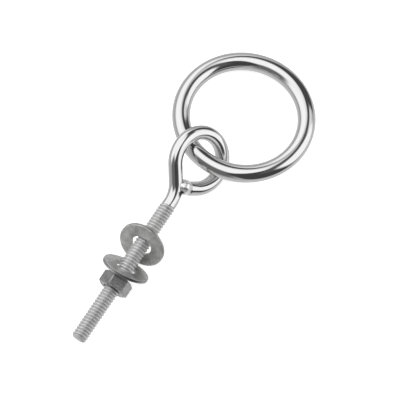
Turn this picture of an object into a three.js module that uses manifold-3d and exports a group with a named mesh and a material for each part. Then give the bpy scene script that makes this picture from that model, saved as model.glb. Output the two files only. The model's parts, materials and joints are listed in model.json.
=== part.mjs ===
// A ring eye bolt: a round bar threaded at one end and bent into a welded eye at the other, a loose
// ring through the eye, and a hex nut and two loose flat washers on the thread.
// Millimetres, +Z up. It lies at rest on a flat surface: the eye's low side, the ring's far side and
// the washers' edges meet that surface. The origin is the middle of the bounding box's base.
// Inside the shank's own group, +X runs along the shank from its tip to the eye, and x is 0 at the
// eye's centre, so everything on the shank has a negative x.

import * as THREE from "three";
import { mergeVertices } from "three/addons/utils/BufferGeometryUtils.js";
import Module from "manifold-3d";

const wasm = await Module();
wasm.setup();

// The bar, its eye and its thread (1/4 in, 20 turns to the inch)
const BAR_DIAMETER = 5.6;
const EYE_RADIUS = 11; // to the bar's centre line
const NECK_X = -15.9; // where the bar leaves the shank's axis for the eye
const NECK_BEND_RADIUS = 11;
const THREAD_DIAMETER = 6.35;
const THREAD_END_X = -21.6;
const THREAD_RUN_OUT = 0.9;
const TIP_X = -85.2;
const TIP_CHAMFER = 0.8;
const EYE_END_ANGLE = 35; // degrees short of the shank's axis, where the eye's circle ends
const BAR_END_LENGTH = 4.3; // of straight bar after the circle
const WELD_FILL_RADII = [4.2, 2.7, 2.7]; // along the bar's end, across it, and through the eye
const WELD_FILL_AHEAD = 1.1; // from the bar's end to the fill's middle
const WELD_CAP_RADII = [2.7, 2.4, 3.6]; // along the leg, across it, and through the eye
const WELD_CAP_CENTRE = [-12.3, 0.2, 1.4];
const WELD_CAP_LEAN = 34; // towards the leg
const WELD_GAP = 0.3;

// The ring
const RING_RADIUS = 24.45; // to the wire's centre line
const RING_WIRE = 7;

// The washers (5/16 in clearance, 3/4 in across) and the nut (7/16 in across its flats)
const WASHER_DIAMETER = 19.2;
const WASHER_HOLE = 8.5;
const WASHER_THICKNESS = 1.4;
const WASHER_EDGE = 0.15;
const NUT_ACROSS_FLATS = 11.11;
const NUT_HEIGHT = 5.56;
const NUT_BORE = 6.65;
const NUT_FACE_DIAMETER = 10.6;
const NUT_BEVEL_SLOPE = Math.tan(THREE.MathUtils.degToRad(30));
const NUT_COUNTERSINK = 0.4;

// How the pieces lie, in degrees and millimetres
const SHANK_PITCH = 2.4; // the shank rises towards the eye
const EYE_TURN = 45; // the eye's plane, turned about the shank from flat
const RING_TILT = 9.2; // the ring's side in the eye is its high side
const RING_AHEAD = 25.2; // ring's centre from the eye's centre, along +X
const RING_ASIDE = -4.35; // and along Y
const WASHER_LEAN = 31.5; // from square on the shank, leaning apart at the top
const EYE_WASHER_X = -40.2;
const NUT_WASHER_X = -51.75;
const NUT_X = -58.85; // the nut's middle
const NUT_TURN = -12; // from a corner straight up

// Facets
const BAR_SIDES = 18;
const BAR_STEPS = 64;
const RING_SIDES = 20;
const RING_STEPS = 72;
const ROUND_SIDES = 40;

const polishedSteel = new THREE.MeshStandardMaterial({ color: 0xd2d4d6, roughness: 0.12, metalness: 1 });
const weldSteel = new THREE.MeshStandardMaterial({ color: 0xc6c8ca, roughness: 0.28, metalness: 1 });
const washerZinc = new THREE.MeshStandardMaterial({ color: 0x8f9190, roughness: 0.5, metalness: 0.9 });
const nutZinc = new THREE.MeshStandardMaterial({ color: 0x86888a, roughness: 0.45, metalness: 0.9 });

const radians = THREE.MathUtils.degToRad;

function solidFrom(geometry) {
  const bare = geometry.clone();
  bare.deleteAttribute("normal");
  bare.deleteAttribute("uv");
  const merged = mergeVertices(bare, 1e-4);
  return new wasm.Manifold(
    new wasm.Mesh({
      numProp: 3,
      vertProperties: new Float32Array(merged.attributes.position.array),
      triVerts: new Uint32Array(merged.index.array),
    }),
  );
}

function geometryFrom(solid) {
  const mesh = solid.getMesh();
  const geometry = new THREE.BufferGeometry();
  geometry.setAttribute("position", new THREE.BufferAttribute(mesh.vertProperties, 3));
  geometry.setIndex(new THREE.BufferAttribute(mesh.triVerts, 1));
  return geometry;
}

function namedMesh(name, geometry, material) {
  const mesh = new THREE.Mesh(geometry, material);
  mesh.name = name;
  return mesh;
}

// A body of revolution about the X axis. The profile holds [x, radius] pairs in order of x.
function turned(profile, sides = ROUND_SIDES) {
  const points = profile.map(([x, radius]) => new THREE.Vector2(radius, x));
  return new THREE.LatheGeometry(points, sides).rotateZ(-Math.PI / 2);
}

// A flat path in the XY plane, as a curve in space.
class FlatCurve extends THREE.Curve {
  constructor(path) {
    super();
    this.path = path;
  }

  getPoint(t, target = new THREE.Vector3()) {
    const point = this.path.getPointAt(t);
    return target.set(point.x, point.y, 0);
  }
}

function barAlong(path, diameter, steps) {
  const section = new THREE.Shape().absarc(0, 0, diameter / 2, 0, 2 * Math.PI, false);
  return new THREE.ExtrudeGeometry(section, {
    extrudePath: new FlatCurve(path),
    curveSegments: BAR_SIDES / 2, // a circle is drawn as two halves
    steps,
    bevelEnabled: false,
  });
}

// The bar's centre line in the eye's plane: up the shank, a bend at the neck, straight on to the
// eye's circle, round the circle, and straight on until its end faces the leg.
const neckTurn = Math.asin(EYE_RADIUS / -NECK_X);
const bendStart = NECK_X - NECK_BEND_RADIUS * Math.tan(neckTurn / 2);
const eyeStart = Math.PI / 2 + neckTurn;
const eyeEnd = radians(EYE_END_ANGLE) - Math.PI;
const barHeading = eyeEnd - Math.PI / 2;

function neckPath(startX) {
  const path = new THREE.Path();
  path.moveTo(startX, 0);
  path.lineTo(bendStart, 0);
  path.absarc(bendStart, NECK_BEND_RADIUS, NECK_BEND_RADIUS, -Math.PI / 2, neckTurn - Math.PI / 2, false);
  return path;
}

// A point on the bar's straight end or ahead of it.
function pastCircle(length) {
  const along = new THREE.Vector2(Math.cos(barHeading), Math.sin(barHeading));
  return new THREE.Vector2(Math.cos(eyeEnd), Math.sin(eyeEnd))
    .multiplyScalar(EYE_RADIUS)
    .addScaledVector(along, length);
}

// Round the eye's circle from an angle, and on along the bar's straight end.
function roundEye(path, start, endLength) {
  const end = pastCircle(endLength);
  path.absarc(0, 0, EYE_RADIUS, start, eyeEnd, true);
  path.lineTo(end.x, end.y);
  return path;
}

function eyeBolt() {
  const path = roundEye(neckPath(THREAD_END_X - THREAD_RUN_OUT), eyeStart, BAR_END_LENGTH);
  const bar = solidFrom(barAlong(path, BAR_DIAMETER, BAR_STEPS));
  const threaded = turned([
    [TIP_X, 0],
    [TIP_X, THREAD_DIAMETER / 2 - TIP_CHAMFER],
    [TIP_X + TIP_CHAMFER, THREAD_DIAMETER / 2],
    [THREAD_END_X - THREAD_RUN_OUT, THREAD_DIAMETER / 2],
    [THREAD_END_X, BAR_DIAMETER / 2],
    [THREAD_END_X, 0],
  ]);
  return namedMesh("eye_bolt", geometryFrom(bar.add(solidFrom(threaded))), polishedSteel);
}

// The bead that closes the eye: metal that fills the space between the bar's end and the leg, with a
// cap over it that stands on the leg. It is cut back from both by the weld gap.
function eyeWeld() {
  const grown = BAR_DIAMETER + 2 * WELD_GAP;
  const leg = neckPath(THREAD_END_X).absarc(0, 0, EYE_RADIUS, eyeStart, Math.PI / 2, true);
  const tail = roundEye(new THREE.Path(), -Math.PI / 2, BAR_END_LENGTH + WELD_GAP);
  const fillCentre = pastCircle(BAR_END_LENGTH + WELD_FILL_AHEAD);
  const fill = new THREE.SphereGeometry(1, 28, 18)
    .scale(...WELD_FILL_RADII)
    .rotateZ(barHeading)
    .translate(fillCentre.x, fillCentre.y, 0);
  const cap = new THREE.SphereGeometry(1, 28, 18)
    .scale(...WELD_CAP_RADII)
    .rotateX(radians(-WELD_CAP_LEAN))
    .rotateZ(neckTurn)
    .translate(...WELD_CAP_CENTRE);
  const bead = solidFrom(fill)
    .add(solidFrom(cap))
    .subtract(solidFrom(barAlong(leg, grown, BAR_STEPS / 2)))
    .subtract(solidFrom(barAlong(tail, grown, BAR_STEPS / 4)));
  return namedMesh("eye_weld", geometryFrom(bead), weldSteel);
}

function ring() {
  const torus = new THREE.TorusGeometry(RING_RADIUS, RING_WIRE / 2, RING_SIDES, RING_STEPS);
  return namedMesh("ring", torus, polishedSteel);
}

function washer(name) {
  const half = WASHER_THICKNESS / 2;
  const outer = WASHER_DIAMETER / 2;
  const inner = WASHER_HOLE / 2;
  const profile = [
    [-half, inner],
    [-half, outer - WASHER_EDGE],
    [WASHER_EDGE - half, outer],
    [half - WASHER_EDGE, outer],
    [half, outer - WASHER_EDGE],
    [half, inner],
    [-half, inner],
  ];
  return namedMesh(name, turned(profile), washerZinc);
}

// A hexagon bevelled to a round face at both ends, with a countersunk bore.
function hexNut() {
  const half = NUT_HEIGHT / 2;
  const corner = NUT_ACROSS_FLATS / Math.sqrt(3);
  const face = NUT_FACE_DIAMETER / 2;
  const bore = NUT_BORE / 2;
  const beyond = 1;
  const prism = new THREE.CylinderGeometry(corner, corner, NUT_HEIGHT, 6).rotateZ(-Math.PI / 2);
  const bevelDepth = (corner + beyond - face) * NUT_BEVEL_SLOPE;
  const blank = turned([
    [-half, 0],
    [-half, face],
    [bevelDepth - half, corner + beyond],
    [half - bevelDepth, corner + beyond],
    [half, face],
    [half, 0],
  ]);
  const hole = turned([
    [-half - beyond, 0],
    [-half - beyond, bore + NUT_COUNTERSINK + beyond],
    [NUT_COUNTERSINK - half, bore],
    [half - NUT_COUNTERSINK, bore],
    [half + beyond, bore + NUT_COUNTERSINK + beyond],
    [half + beyond, 0],
  ]);
  const nut = solidFrom(prism).intersect(solidFrom(blank)).subtract(solidFrom(hole));
  return namedMesh("hex_nut", geometryFrom(nut), nutZinc);
}

// The eye bolt and what is on its shank
const eyePlane = new THREE.Group();
eyePlane.rotation.x = radians(EYE_TURN);
eyePlane.add(eyeBolt(), eyeWeld());

const eyeWasher = washer("eye_side_washer");
eyeWasher.position.x = EYE_WASHER_X;
eyeWasher.rotation.y = radians(WASHER_LEAN);

const nutWasher = washer("nut_side_washer");
nutWasher.position.x = NUT_WASHER_X;
nutWasher.rotation.y = radians(-WASHER_LEAN);

const nut = hexNut();
nut.position.x = NUT_X;
nut.rotation.x = radians(NUT_TURN);

const eyeNormalUp = Math.cos(radians(EYE_TURN)) * Math.cos(radians(SHANK_PITCH));
const shank = new THREE.Group();
shank.position.z = EYE_RADIUS * Math.sqrt(1 - eyeNormalUp ** 2) + BAR_DIAMETER / 2;
shank.rotation.y = radians(-SHANK_PITCH);
shank.add(eyePlane, eyeWasher, nutWasher, nut);

// The ring leans on the eye and rests on its far side
const looseRing = ring();
looseRing.rotation.y = radians(RING_TILT);
looseRing.position.set(
  RING_AHEAD,
  RING_ASIDE,
  RING_RADIUS * Math.sin(radians(RING_TILT)) + RING_WIRE / 2,
);

const assembly = new THREE.Group();
assembly.add(shank, looseRing);

// Move the whole to put the origin at the middle of the base
const box = new THREE.Box3().setFromObject(assembly, true);
const middle = box.getCenter(new THREE.Vector3());
assembly.position.set(-middle.x, -middle.y, -box.min.z);

const part = new THREE.Group();
part.add(assembly);

export default part;
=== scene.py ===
"""The looks of a ring eye bolt: a bent and welded bar with a rolled thread, a loose ring, a hex nut and
two flat washers. Metres, +Z up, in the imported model's frame."""

import json
from math import asin, cos, floor, pi, radians, sin, sqrt, tan, tau

import bpy
from mathutils import Matrix, Vector, noise


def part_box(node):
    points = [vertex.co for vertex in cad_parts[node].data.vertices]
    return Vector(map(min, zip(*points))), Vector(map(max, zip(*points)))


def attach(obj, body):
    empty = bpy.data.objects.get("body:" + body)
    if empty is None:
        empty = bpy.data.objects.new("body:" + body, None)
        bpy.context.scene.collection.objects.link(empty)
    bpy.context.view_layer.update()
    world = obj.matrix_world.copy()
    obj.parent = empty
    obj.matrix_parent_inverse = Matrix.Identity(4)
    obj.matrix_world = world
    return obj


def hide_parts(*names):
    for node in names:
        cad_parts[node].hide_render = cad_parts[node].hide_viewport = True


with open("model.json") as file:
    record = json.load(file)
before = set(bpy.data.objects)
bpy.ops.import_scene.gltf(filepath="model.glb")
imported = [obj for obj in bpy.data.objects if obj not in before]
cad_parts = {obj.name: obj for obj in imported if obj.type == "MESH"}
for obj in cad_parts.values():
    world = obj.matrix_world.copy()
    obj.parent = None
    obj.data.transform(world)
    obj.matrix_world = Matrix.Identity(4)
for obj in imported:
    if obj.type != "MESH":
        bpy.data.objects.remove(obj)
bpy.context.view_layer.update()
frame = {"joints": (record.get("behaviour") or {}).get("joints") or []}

mm = 0.001

# ---------------------------------------------------------------- sizes

BAR_RADIUS = 2.8 * mm
EYE_RADIUS = 11 * mm  # to the bar's centre line
NECK = -15.9 * mm  # where the neck's two straight lines would cross, from the eye's centre
NECK_TURN = asin(EYE_RADIUS / -NECK)  # between the shank and the leg
NECK_BEND_RADIUS = 11 * mm
EYE_END_ANGLE = radians(35)  # short of the shank's axis, where the eye's circle ends
BAR_END_LENGTH = 4.3 * mm  # of straight bar after the circle
END_ROUNDING = 0.7 * mm
END_STEPS = 5

THREAD_RADIUS = 3.175 * mm  # 1/4 in, 20 turns to the inch
THREAD_DEPTH = 0.48 * mm
PITCH = 1.27 * mm
CREST_FLAT = 1 / 13  # half the crest's width, in pitches
ROOT_FLAT = 1 / 20
THREAD_END = -21.4 * mm
RUN_OUT = 1.2 * mm
TIP = -85.2 * mm
TIP_CHAMFER = 0.8 * mm
SAWN_END_SOOT = 0.7  # how dark the sawn end is
SAWN_END_DEPTH = 0.3 * mm  # of its full darkness

RING_RADIUS = 24.45 * mm
RING_WIRE_RADIUS = 3.5 * mm
RING_TILT = radians(9.2)

WASHER_RADIUS = 9.6 * mm
WASHER_HOLE_RADIUS = 4.25 * mm
WASHER_THICKNESS = 1.4 * mm
WASHER_LEAN = radians(31.5)
PUNCHED_ROUNDING = 0.34 * mm  # on the side that the punch pressed
SHEARED_ROUNDING = 0.1 * mm

NUT_HALF_FLATS = 5.555 * mm
NUT_HALF_HEIGHT = 2.78 * mm
NUT_FACE_RADIUS = 5.3 * mm
NUT_BEVEL_SLOPE = tan(radians(30))
NUT_CORNER_ROUNDING = 0.35 * mm
NUT_BORE_RADIUS = 3.325 * mm
NUT_COUNTERSINK = 0.4 * mm
NUT_TURN = radians(12)

# ---------------------------------------------------------------- places, from the frame


def joint(name):
    return next(row for row in frame["joints"] if row["name"] == name)


def middle(node):
    low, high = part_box(node)
    return (low + high) / 2


def axes(origin, x, z):
    """A place as a matrix: its origin, its x axis and its z axis."""
    x, z = x.normalized(), z.normalized()
    return Matrix.Translation(origin) @ Matrix((x, z.cross(x), z)).transposed().to_4x4()


LEVEL = Vector((0, 1, 0))
EYE_CENTRE = Vector(joint("ring_swing")["pos_m"])
ALONG_SHANK = Vector(joint("nut_travel")["axis"])
ABOVE_SHANK = ALONG_SHANK.cross(LEVEL)

EYE_PLACE = axes(EYE_CENTRE, ALONG_SHANK, Vector(joint("ring_swing")["axis"]))
RING_NORMAL = Vector((sin(RING_TILT), 0, cos(RING_TILT)))
RING_PLACE = axes(middle("ring"), LEVEL.cross(RING_NORMAL), RING_NORMAL)
NUT_CORNER = ABOVE_SHANK * cos(NUT_TURN) + LEVEL * sin(NUT_TURN)
NUT_PLACE = axes(middle("hex_nut"), ALONG_SHANK, NUT_CORNER)


def washer_place(node, lean):
    square = Matrix.Rotation(lean, 3, "Y") @ ALONG_SHANK
    return axes(middle(node), square, square.cross(LEVEL))


# ---------------------------------------------------------------- meshes


def smooth_step(low, high, value):
    t = min(max((value - low) / (high - low), 0), 1)
    return t * t * (3 - 2 * t)


def skin(name, rows, looped, place):
    """A closed mesh over rows of points that each run round it. Looped rows join up with the first one;
    otherwise both ends are closed on their middle."""
    count, width = len(rows), len(rows[0])
    points = [place @ point for row in rows for point in row]
    faces = []
    for i in range(count if looped else count - 1):
        here, ahead = i * width, (i + 1) % count * width
        for j in range(width):
            k = (j + 1) % width
            faces.append((here + j, ahead + j, ahead + k, here + k))
    if not looped:
        for first in (0, (count - 1) * width):
            ring = range(first, first + width)
            points.append(sum((points[j] for j in ring), Vector()) / width)
            hub = len(points) - 1
            for j in range(width):
                edge = (first + j, first + (j + 1) % width)
                faces.append((*(edge if first == 0 else reversed(edge)), hub))
    mesh = bpy.data.meshes.new(name)
    mesh.from_pydata(points, [], faces)
    mesh.shade_smooth()
    piece = bpy.data.objects.new(name, mesh)
    bpy.context.scene.collection.objects.link(piece)
    return piece


def mark(piece, name, values):
    """Writes one number a point, for a material to read; the points that close the ends take the last."""
    values = values + values[-1:] * (len(piece.data.vertices) - len(values))
    piece.data.attributes.new(name, "FLOAT", "POINT").data.foreach_set("value", values)


def settle(piece, body, node, finish):
    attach(piece, body)
    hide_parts(node)
    piece.data.materials.append(finish)


def march(point, heading, length, turn, steps):
    """Points along a flat stretch of wire that turns evenly, each with its heading."""
    bend = turn / steps
    chord = length / steps * (sin(bend / 2) / (bend / 2) if turn else 1)
    for _ in range(steps):
        point = point + chord * Vector((cos(heading + bend / 2), sin(heading + bend / 2), 0))
        heading += bend
        yield point, heading


def round_section(centre, heading, radii):
    across, up = Vector((-sin(heading), cos(heading), 0)), Vector((0, 0, 1))
    turn = tau / len(radii)
    return [centre + r * (across * cos(i * turn) + up * sin(i * turn)) for i, r in enumerate(radii)]


def thread_groove(x, angle):
    """How deep the right-hand thread is there, from 0 at its crest to 1 at its root."""
    phase = x / PITCH - angle / tau
    away = abs(phase - floor(phase + 0.5))
    return min(max((away - CREST_FLAT) / (0.5 - CREST_FLAT - ROOT_FLAT), 0), 1)


# ---------------------------------------------------------------- the bent bar

BAR_SIDES = 60
STEPS_A_TURN = 20


def eye_bolt_bar():
    rows, threaded, grooves = [], [], []
    bend_start = NECK - NECK_BEND_RADIUS * tan(NECK_TURN / 2)
    sides = [i * tau / BAR_SIDES for i in range(BAR_SIDES)]

    def shank_row(x):
        fade = 1 - smooth_step(THREAD_END - RUN_OUT, THREAD_END, x)
        crest = BAR_RADIUS + (THREAD_RADIUS - BAR_RADIUS) * fade
        chamfer = THREAD_RADIUS - TIP_CHAMFER + (x - TIP)
        deep = [thread_groove(x, side) * fade for side in sides]
        radii = [min(crest - THREAD_DEPTH * groove, chamfer) for groove in deep]
        rows.append(round_section(Vector((x, 0, 0)), 0, radii))
        threaded.extend([fade] * BAR_SIDES)
        grooves.extend(deep)

    steps = round((THREAD_END - TIP) / PITCH * STEPS_A_TURN)
    for i in range(steps + 1):
        shank_row(TIP + (THREAD_END - TIP) * i / steps)

    def bar_row(centre, heading, radius=BAR_RADIUS):
        rows.append(round_section(centre, heading, [radius] * BAR_SIDES))
        threaded.extend([0.0] * BAR_SIDES)
        grooves.extend([0.0] * BAR_SIDES)

    sweep = pi / 2 + NECK_TURN + pi - EYE_END_ANGLE
    leg = -NECK * cos(NECK_TURN) - NECK_BEND_RADIUS * tan(NECK_TURN / 2)
    point, heading = Vector((THREAD_END, 0, 0)), 0.0
    stretches = (
        (bend_start - THREAD_END, 0, 8),
        (NECK_BEND_RADIUS * NECK_TURN, NECK_TURN, 14),
        (leg, 0, 14),
        (EYE_RADIUS * sweep, -sweep, 120),
        (BAR_END_LENGTH - END_ROUNDING, 0, 8),
    )
    for length, turn, count in stretches:
        for point, heading in march(point, heading, length, turn, count):
            bar_row(point, heading)
    ahead = Vector((cos(heading), sin(heading), 0))
    for i in range(1, END_STEPS + 1):
        angle = i / END_STEPS * pi / 2
        rise = ahead * END_ROUNDING * sin(angle)
        bar_row(point + rise, heading, BAR_RADIUS - END_ROUNDING * (1 - cos(angle)))

    bar = skin("eye_bolt_bar", rows, False, EYE_PLACE)
    mark(bar, "threaded", threaded)
    mark(bar, "groove", grooves)
    points = [point for row in rows for point in row]
    fades = (smooth_step(TIP + SAWN_END_DEPTH, TIP + TIP_CHAMFER, point.x) for point in points)
    sawn = (SAWN_END_SOOT * (1 - fade) for fade in fades)
    # Painted shade from the hollow under the weld's cap, together with the sawn end's own darkness.
    mark(bar, "darkening", [max(pair) for pair in zip(darkening(points), sawn)])
    return bar


# ---------------------------------------------------------------- the weld bead

WELD_FILL_RADII = Vector((3.9, 2.6, 2.7)) * mm  # along the bar's end, across it, and through the eye
WELD_FILL_AHEAD = 1.1 * mm  # from the bar's end to the fill's middle
WELD_CAP_RADII = Vector((2.75, 3.0, 3.3)) * mm  # along the leg, across it, and through the eye
WELD_CAP_CENTRE = Vector((-12.0, -0.15, 1.45)) * mm
WELD_CAP_LEAN = radians(34)  # towards the leg
WELD_MIDDLE = Vector((-12.2, -0.85, 0.6)) * mm
WELD_SHARPNESS = 7  # of the crease between the fill and the cap
WELD_LUMPS = ((0.3 * mm, 1.8 * mm), (0.03 * mm, 0.7 * mm))  # each with its height and size
WELD_BANDS, WELD_SIDES = 60, 90
# Painted shade in the hollow under the weld's cap: its middle, its full and fading reach, and its ragged
# edge.
HOLLOW_SHADE_PLACE = Vector((0.4, -0.6, 2.55)) * mm  # along the leg, across it, and through the eye
HOLLOW_SHADE_CORE, HOLLOW_SHADE_EDGE = 0.9 * mm, 1.8 * mm
HOLLOW_SHADE_RAG_DEPTH, HOLLOW_SHADE_RAG_SIZE = 0.35 * mm, 0.9 * mm


def exit_distance(start, way, egg):
    """From a start inside an egg, given as its place and radii, to its skin."""
    place, radii = egg
    back = place.inverted()
    a = Vector((back.to_3x3() @ way)[i] / radii[i] for i in range(3))
    b = Vector((back @ start)[i] / radii[i] for i in range(3))
    half = a.dot(b) / a.length_squared
    return -half + sqrt(half**2 - (b.length_squared - 1) / a.length_squared)


def darkening(points):
    """How much painted shade the hollow under the weld's cap puts on each point, from 0 to 1."""
    along = Vector((cos(NECK_TURN), sin(NECK_TURN), 0))
    hollow = Vector((NECK, 0, 0)) + along * HOLLOW_SHADE_PLACE.x
    hollow += Vector((-along.y, along.x, 0)) * HOLLOW_SHADE_PLACE.y + Vector((0, 0, HOLLOW_SHADE_PLACE.z))
    shades = []
    for point in points:
        rag = noise.noise(point / HOLLOW_SHADE_RAG_SIZE) * HOLLOW_SHADE_RAG_DEPTH
        shades.append(1 - smooth_step(HOLLOW_SHADE_CORE, HOLLOW_SHADE_EDGE, (point - hollow).length + rag))
    return shades


def weld_bead():
    """Metal that fills the space between the bar's end and the leg, with a cap that stands on the leg."""
    end = pi + EYE_END_ANGLE
    heading = end - pi / 2
    ahead = Vector((cos(heading), sin(heading), 0))
    fill_centre = EYE_RADIUS * Vector((cos(end), sin(end), 0)) + ahead * (BAR_END_LENGTH + WELD_FILL_AHEAD)
    fill = Matrix.Translation(fill_centre) @ Matrix.Rotation(heading, 4, "Z")
    cap = Matrix.Translation(WELD_CAP_CENTRE) @ Matrix.Rotation(NECK_TURN, 4, "Z")
    cap = cap @ Matrix.Rotation(-WELD_CAP_LEAN, 4, "X")
    eggs = ((fill, WELD_FILL_RADII), (cap, WELD_CAP_RADII))
    rows = []
    for i in range(1, WELD_BANDS):
        polar = pi * i / WELD_BANDS
        row = []
        for j in range(WELD_SIDES):
            round_it = tau * j / WELD_SIDES
            way = Vector((cos(polar), sin(polar) * cos(round_it), sin(polar) * sin(round_it)))
            reaches = (exit_distance(WELD_MIDDLE, way, egg) / mm for egg in eggs)
            reach = sum(r**WELD_SHARPNESS for r in reaches) ** (1 / WELD_SHARPNESS) * mm
            point = WELD_MIDDLE + way * reach
            lumps = sum(height * noise.noise(point / size) for height, size in WELD_LUMPS)
            row.append(point + way * lumps)
        rows.append(row)
    bead = skin("weld_bead", rows, False, EYE_PLACE)
    # Painted shade in the hollow under the cap.
    mark(bead, "darkening", darkening([point for row in rows for point in row]))
    return bead


# ---------------------------------------------------------------- the ring, washers and nut

RING_STEPS, RING_SIDES = 300, 72
WASHER_SIDES = 144
RIM_SHADE_MARGIN = 0.2 * mm  # at each face of a washer's rims, left without their painted shade
NUT_SIDES = 180
NUT_EDGE_ROUNDING = 0.08 * mm
NUT_THREAD_DEPTH = 0.8 * NUT_COUNTERSINK
NUT_THREAD_STEPS = 72
HOLD = 0.04 * mm  # beside each rounding, to keep the flats flat


def loose_ring():
    rows = []
    for i in range(RING_STEPS):
        around = tau * i / RING_STEPS
        out = Vector((cos(around), sin(around), 0))
        row = []
        for j in range(RING_SIDES):
            about = tau * j / RING_SIDES
            level = Vector((0, 0, RING_WIRE_RADIUS * sin(about)))
            row.append(out * (RING_RADIUS + RING_WIRE_RADIUS * cos(about)) + level)
        rows.append(row)
    return skin("loose_ring", rows, True, RING_PLACE)


def rounded_corner(corner, before, after, radius, steps=5):
    """The arc that rounds one corner of an outline of (x, radius) points."""
    back, on = (before - corner).normalized(), (after - corner).normalized()
    half = back.angle(on) / 2
    reach = radius / tan(half)
    hub = corner + (back + on).normalized() * (radius / sin(half))
    start, end = corner + back * reach - hub, corner + on * reach - hub
    span = start.angle(end)
    arc = [
        hub + (start * sin(span * (1 - t)) + end * sin(span * t)) / sin(span)
        for t in (i / steps for i in range(steps + 1))
    ]
    return [corner + back * (reach + HOLD), *arc, corner + on * (reach + HOLD)]


def outline(corners, radii):
    """A closed outline with each corner rounded by its own radius."""
    points = []
    for i, (corner, radius) in enumerate(zip(corners, radii)):
        before, after = corners[i - 1], corners[(i + 1) % len(corners)]
        points += rounded_corner(corner, before, after, radius)
    return points


def spun(angle, points):
    """An outline of (x, radius) points turned to one angle about the x axis."""
    return [Vector((x, r * cos(angle), r * sin(angle))) for x, r in points]


def washer(name, place, flip):
    half = WASHER_THICKNESS / 2
    corners = [
        Vector((-half, WASHER_HOLE_RADIUS)),
        Vector((-half, WASHER_RADIUS)),
        Vector((half, WASHER_RADIUS)),
        Vector((half, WASHER_HOLE_RADIUS)),
    ]
    radii = [SHEARED_ROUNDING, PUNCHED_ROUNDING, SHEARED_ROUNDING, PUNCHED_ROUNDING]
    if flip:
        radii = radii[::-1]
    section = outline(corners, radii)
    rows = [spun(tau * i / WASHER_SIDES, section) for i in range(WASHER_SIDES)]
    disc = skin(name, rows, True, place)
    # The middles of the rims are marked for painted shade.
    mark(disc, "rim_shade", [float(abs(x) < half - RIM_SHADE_MARGIN) for x, _ in section] * WASHER_SIDES)
    return disc


def hexagon_reach(angle):
    """From the nut's axis to its side, with a corner at angle 0 and each corner rounded."""
    off = (angle + pi / 6) % (pi / 3) - pi / 6  # from the nearest corner
    from_flat = pi / 6 - abs(off)
    inner = NUT_HALF_FLATS - NUT_CORNER_ROUNDING
    flat_end = inner * tan(pi / 6)
    if NUT_HALF_FLATS * tan(from_flat) <= flat_end:
        return NUT_HALF_FLATS / cos(from_flat)
    hub = inner / cos(pi / 6)
    along = hub * cos(off)
    return along + sqrt(NUT_CORNER_ROUNDING**2 - hub**2 + along**2)


def hex_nut():
    rows = []
    sink = NUT_BORE_RADIUS + NUT_COUNTERSINK
    bore = NUT_HALF_HEIGHT - NUT_COUNTERSINK
    for i in range(NUT_SIDES):
        angle = tau * i / NUT_SIDES
        reach = hexagon_reach(angle)
        edge = NUT_HALF_HEIGHT - (reach - NUT_FACE_RADIUS) * NUT_BEVEL_SLOPE
        corners = [
            Vector((-NUT_HALF_HEIGHT, sink)),
            Vector((-NUT_HALF_HEIGHT, NUT_FACE_RADIUS)),
            Vector((-edge, reach)),
            Vector((edge, reach)),
            Vector((NUT_HALF_HEIGHT, NUT_FACE_RADIUS)),
            Vector((NUT_HALF_HEIGHT, sink)),
        ]
        section = []
        for k in range(1, 5):
            section += rounded_corner(corners[k], corners[k - 1], corners[k + 1], NUT_EDGE_ROUNDING, 3)
        section.append(corners[5])
        for k in range(NUT_THREAD_STEPS + 1):
            x = bore - 2 * bore * k / NUT_THREAD_STEPS
            section.append(Vector((x, NUT_BORE_RADIUS + NUT_THREAD_DEPTH * thread_groove(x, angle))))
        section.append(corners[0])
        rows.append(spun(angle + pi / 2, section))
    return skin("threaded_hex_nut", rows, True, NUT_PLACE)


# ---------------------------------------------------------------- shader expressions


class Wire:
    """A socket in a node tree that Python's operators work on: an expression adds its Math nodes."""

    def __init__(self, tree, socket=None):
        self.tree = tree
        self.socket = socket

    def node(self, kind, settings=None, inputs=None, output=0):
        made = self.tree.nodes.new(kind)
        for name, value in (settings or {}).items():
            if name == "stops":
                for stop, (place, shade) in zip(made.color_ramp.elements, value):
                    stop.position = place
                    stop.color = shade
            else:
                setattr(made, name, value)
        for name, value in (inputs or {}).items():
            if isinstance(value, Wire):
                self.tree.links.new(value.socket, made.inputs[name])
            else:
                made.inputs[name].default_value = value
        return Wire(self.tree, made.outputs[output] if made.outputs else None)

    def maths(self, operation, *values):
        return self.node("ShaderNodeMath", {"operation": operation}, dict(enumerate(values)))

    def __add__(self, other):
        return self.maths("ADD", self, other)

    def __radd__(self, other):
        return self.maths("ADD", other, self)

    def __sub__(self, other):
        return self.maths("SUBTRACT", self, other)

    def __rsub__(self, other):
        return self.maths("SUBTRACT", other, self)

    def __mul__(self, other):
        return self.maths("MULTIPLY", self, other)

    def __rmul__(self, other):
        return self.maths("MULTIPLY", other, self)

    def __truediv__(self, other):
        return self.maths("DIVIDE", self, other)

    def __pow__(self, other):
        return self.maths("POWER", self, other)

    def __abs__(self):
        return self.maths("ABSOLUTE", self)

    def ramp(self, low, high):
        """0 below low, 1 above high, and an even S between them."""
        limits = {"Value": self, "From Min": low, "From Max": high}
        return self.node("ShaderNodeMapRange", {"interpolation_type": "SMOOTHSTEP"}, limits)

    def blend(self, first, second):
        """first where this is 0 and second where it is 1: two colours."""
        colours = {0: self, 6: first, 7: second}
        return self.node("ShaderNodeMix", {"data_type": "RGBA"}, colours, 2)

    def place(self):
        return self.node("ShaderNodeTexCoord", None, None, "Object")

    def marked(self, name):
        return self.node("ShaderNodeAttribute", {"attribute_name": name}, None, "Fac")

    def grain(self, scale, detail, roughness, at):
        inputs = {"Scale": scale, "Detail": detail, "Roughness": roughness, "Vector": at}
        return self.node("ShaderNodeTexNoise", None, inputs)


def grey(level, warmth=0.0):
    return (level, level, level * (1 - warmth), 1)


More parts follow.
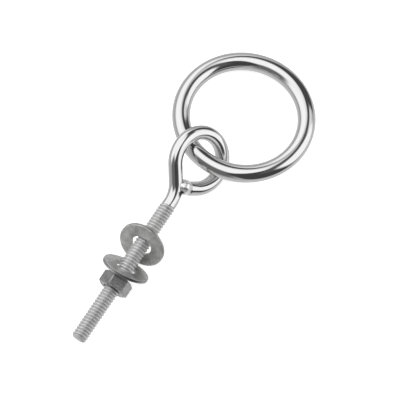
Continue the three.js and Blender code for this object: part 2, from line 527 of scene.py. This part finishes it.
def finish(name, build):
    """A material whose build gives the Principled shader's inputs."""
    material = bpy.data.materials.new(name)
    material.use_nodes = True
    material.node_tree.nodes.clear()
    start = Wire(material.node_tree)
    surface = start.node("ShaderNodeBsdfPrincipled", None, build(start))
    start.node("ShaderNodeOutputMaterial", None, {"Surface": surface})
    return material


def bumped(start, height, depth):
    return start.node("ShaderNodeBump", None, {"Height": height, "Strength": 1.0, "Distance": depth})


# ---------------------------------------------------------------- the finishes


def bright_bar(start):
    """Mirror-polished bar that turns satin where the thread was rolled, with painted shade in the thread's
    grooves.
    """
    threaded = start.marked("threaded")
    groove = start.marked("groove")
    here = start.place()
    clouds = start.grain(180.0, 3.0, 0.6, here)
    scuffs = start.grain(2600.0, 3.0, 0.65, here)
    dark_share = start.marked("darkening")
    # Near-black painted shade in the hollow under the weld's cap, over the polished colour.
    polished = dark_share.blend(clouds.blend(grey(0.66), grey(0.72)), grey(0.04))
    # Painted shade in the thread's grooves, darker towards their roots.
    rolled = groove.ramp(0.0, 1.0).blend(grey(0.84), grey(0.6))
    return {
        "Base Color": threaded.blend(polished, rolled),
        "Metallic": 1.0,
        "Roughness": 0.06 + 0.06 * clouds + threaded * (0.3 + 0.14 * scuffs) + 0.3 * dark_share,
        "Normal": bumped(start, scuffs * (0.1 + threaded * 0.9), 0.03 * mm),
    }


def bright_ring(start):
    here = start.place()
    clouds = start.grain(140.0, 3.0, 0.6, here)
    scuffs = start.grain(2400.0, 2.0, 0.6, here)
    return {
        "Base Color": clouds.blend(grey(0.66), grey(0.72)),
        "Metallic": 1.0,
        "Roughness": 0.06 + 0.06 * clouds,
        "Normal": bumped(start, scuffs, 0.002 * mm),
    }


def weld_metal(start):
    """Bright run metal, satin in places, with painted shade in the hollow under its cap."""
    dark_share = start.marked("darkening")
    here = start.place()
    lumps = start.grain(900.0, 3.0, 0.6, here)
    specks = start.grain(3500.0, 2.0, 0.6, here)
    return {
        # Near-black painted shade in the hollow under the cap.
        "Base Color": dark_share.blend(lumps.blend(grey(0.86), grey(0.98)), grey(0.03)),
        "Metallic": 1.0,
        "Roughness": 0.28 + 0.14 * lumps + 0.2 * dark_share,
        "Normal": bumped(start, lumps + 0.3 * specks, 0.012 * mm),
    }


def dull_plate(light, dark, rough, warmth=0.0):
    """Grey plating on steel: mottled, faintly pitted, rubbed by other parts, and with painted shade on a
    washer's rims.
    """

    def build(start):
        here = start.place()
        rim_shade = start.marked("rim_shade")
        mottle = start.grain(420.0, 4.0, 0.62, here)
        pits = start.grain(2800.0, 3.0, 0.7, here)
        rubbed = start.grain(900.0, 2.0, 0.5, here).ramp(0.6, 0.75)
        plate = mottle.ramp(0.3, 0.7).blend(grey(dark, warmth), grey(light, warmth))
        worn = rubbed.blend(plate, grey(light * 1.2))
        return {
            # Painted shade on a washer's rims, darker than the plating.
            "Base Color": rim_shade.blend(worn, grey(dark * 0.55)),
            "Metallic": 0.92,
            "Roughness": rough + 0.14 * mottle - 0.1 * rubbed,
            "Normal": bumped(start, pits + 0.5 * mottle, 0.04 * mm),
        }

    return build


# ---------------------------------------------------------------- camera, floor and light

CAMERA_AZIMUTH = radians(-53.87)
CAMERA_ELEVATION = radians(71.39)
CAMERA_ROLL = radians(-3.1)
LENS = 800  # a long lens, so that near and far look the same size
SENSOR = 36
VIEW_WIDTH = 155 * mm
CAMERA_DISTANCE = VIEW_WIDTH * LENS / SENSOR
ASIDE, BELOW = 0.45 * mm, 15.3 * mm  # the view's middle, from the eye's centre


def heading_to(azimuth, elevation):
    """The way to a point seen from the object; azimuth 0 is towards -Y, and 90 degrees towards +X."""
    level = cos(elevation)
    return Vector((sin(azimuth) * level, -cos(azimuth) * level, sin(elevation)))


def set_camera():
    back = heading_to(CAMERA_AZIMUTH, CAMERA_ELEVATION)
    right = Vector((0, 0, 1)).cross(back).normalized()
    right = Matrix.Rotation(CAMERA_ROLL, 3, back) @ right
    place = axes(Vector(), right, back)
    aim = EYE_CENTRE + place @ Vector((ASIDE, -BELOW, 0))
    lens = bpy.data.cameras.new("camera")
    lens.lens = LENS
    lens.sensor_width = SENSOR
    camera = bpy.data.objects.new("camera", lens)
    camera.matrix_world = Matrix.Translation(aim + back * CAMERA_DISTANCE) @ place
    bpy.context.scene.collection.objects.link(camera)
    bpy.context.scene.camera = camera


FLOOR_RADIUS = 8
FLOOR_HEIGHT = -0.1 * mm
FLOOR_BANDS, FLOOR_SIDES = 40, 96
FLOOR_GLOW = 0.7


def pale_floor():
    """A wide flat floor, lit by the room and lit a little from within. Only the camera sees it, because
    the studio already holds the light that it would give back."""
    rows = []
    for i in range(1, FLOOR_BANDS + 1):
        radius = FLOOR_RADIUS * (i / FLOOR_BANDS) ** 2
        turns = (tau * j / FLOOR_SIDES for j in range(FLOOR_SIDES))
        rows.append([Vector((radius * cos(t), radius * sin(t), FLOOR_HEIGHT)) for t in turns])
    rows.append([point + Vector((0, 0, FLOOR_HEIGHT)) for point in rows[-1]])
    floor = skin("pale_floor", rows, False, Matrix.Identity(4))
    for ray in ("glossy", "diffuse", "transmission", "shadow"):
        setattr(floor, "visible_" + ray, False)

    def build(start):
        return {
            "Base Color": grey(0.86),
            "Roughness": 0.9,
            "Emission Color": grey(1.0),
            "Emission Strength": FLOOR_GLOW,
        }

    floor.data.materials.append(finish("pale_floor", build))


def soft_box(start, sight, azimuth, elevation, width, height, feather, roll=0, squareness=8):
    """1 where a sight line meets a panel one metre off, and 0 where it passes it by. The panel is an
    oval at a squareness of 2, and nearly a rectangle at 8."""
    ahead = heading_to(radians(azimuth), radians(elevation))
    right = Vector((0, 0, 1)).cross(ahead).normalized()
    right = Matrix.Rotation(radians(roll), 3, ahead) @ right
    reach, aside, above = (
        start.node("ShaderNodeVectorMath", {"operation": "DOT_PRODUCT"}, {0: sight, 1: way}, "Value")
        for way in (ahead, right, ahead.cross(right))
    )
    across = abs(aside / reach) / (width / 2)
    upward = abs(above / reach) / (height / 2)
    inside = 1 - (across**squareness + upward**squareness) ** (1 / squareness)
    return inside.ramp(-feather, feather) * reach.ramp(0.0, 0.05)


def studio():
    """A white tent over a pale table. On one side hangs a large soft box in front of a dark wall, with
    a leaning dark flag beside it, and there is a dark doorway next to them."""
    world = bpy.data.worlds.new("studio")
    world.use_nodes = True
    world.node_tree.nodes.clear()
    start = Wire(world.node_tree)
    sight = start.node("ShaderNodeTexCoord", None, None, "Generated")
    height = start.node("ShaderNodeSeparateXYZ", None, {0: sight}, "Z")
    under, table, tent = 0.74, 0.5, 1.0
    glow = under + (table - under) * height.ramp(-0.75, 0.0)
    glow = glow + (tent - glow) * height.ramp(0.05, 0.5)
    panels = (
        (1.3, soft_box(start, sight, 178, 38, 1.9, 0.9, 0.4)),  # a brighter side of the tent
        (1.3, soft_box(start, sight, 0, 90, 1.1, 1.1, 0.4, 0, 2)),  # and its top
        (0.18, soft_box(start, sight, -92, 28, 1.1, 1.25, 0.35)),  # a doorway
        (0.07, soft_box(start, sight, -5, 28, 2.6, 2.0, 0.1)),  # the dark wall
        (0.12, soft_box(start, sight, 40, 57, 1.7, 0.42, 0.25)),  # the lamp's hood
        (0.08, soft_box(start, sight, 88, 19, 0.5, 1.55, 0.2, -28)),  # the flag
        (1.3, soft_box(start, sight, 29, 19, 1.04, 1.3, 0.2, 0, 2.8)),  # the lamp
    )
    for level, panel in panels:
        glow = glow + (level - glow) * panel
    light = start.node("ShaderNodeBackground", None, {"Color": grey(1.0), "Strength": glow})
    start.node("ShaderNodeOutputWorld", None, {"Surface": light})
    bpy.context.scene.world = world
    bpy.context.scene.view_settings.view_transform = "Standard"


# ---------------------------------------------------------------- putting it together

set_camera()
pale_floor()
studio()

settle(eye_bolt_bar(), "bolt", "eye_bolt", finish("bright_bar", bright_bar))
settle(weld_bead(), "bolt", "eye_weld", finish("weld_metal", weld_metal))
settle(loose_ring(), "ring", "ring", finish("bright_ring", bright_ring))
settle(hex_nut(), "nut", "hex_nut", finish("nut_plating", dull_plate(0.42, 0.31, 0.16)))
# The nut-side washer's plating is darker than the eye-side washer's as painted shade on the same plating.
washer_lit_and_shaded_platings = {"eye": dull_plate(0.8, 0.56, 0.3, 0.03), "nut": dull_plate(0.64, 0.42, 0.24)}
for side, lean in (("eye", WASHER_LEAN), ("nut", -WASHER_LEAN)):
    node = side + "_side_washer"
    washer_finish = finish(side + "_washer_plating", washer_lit_and_shaded_platings[side])
    disc = washer(side + "_side_flat_washer", washer_place(node, lean), lean < 0)
    settle(disc, node, node, washer_finish)
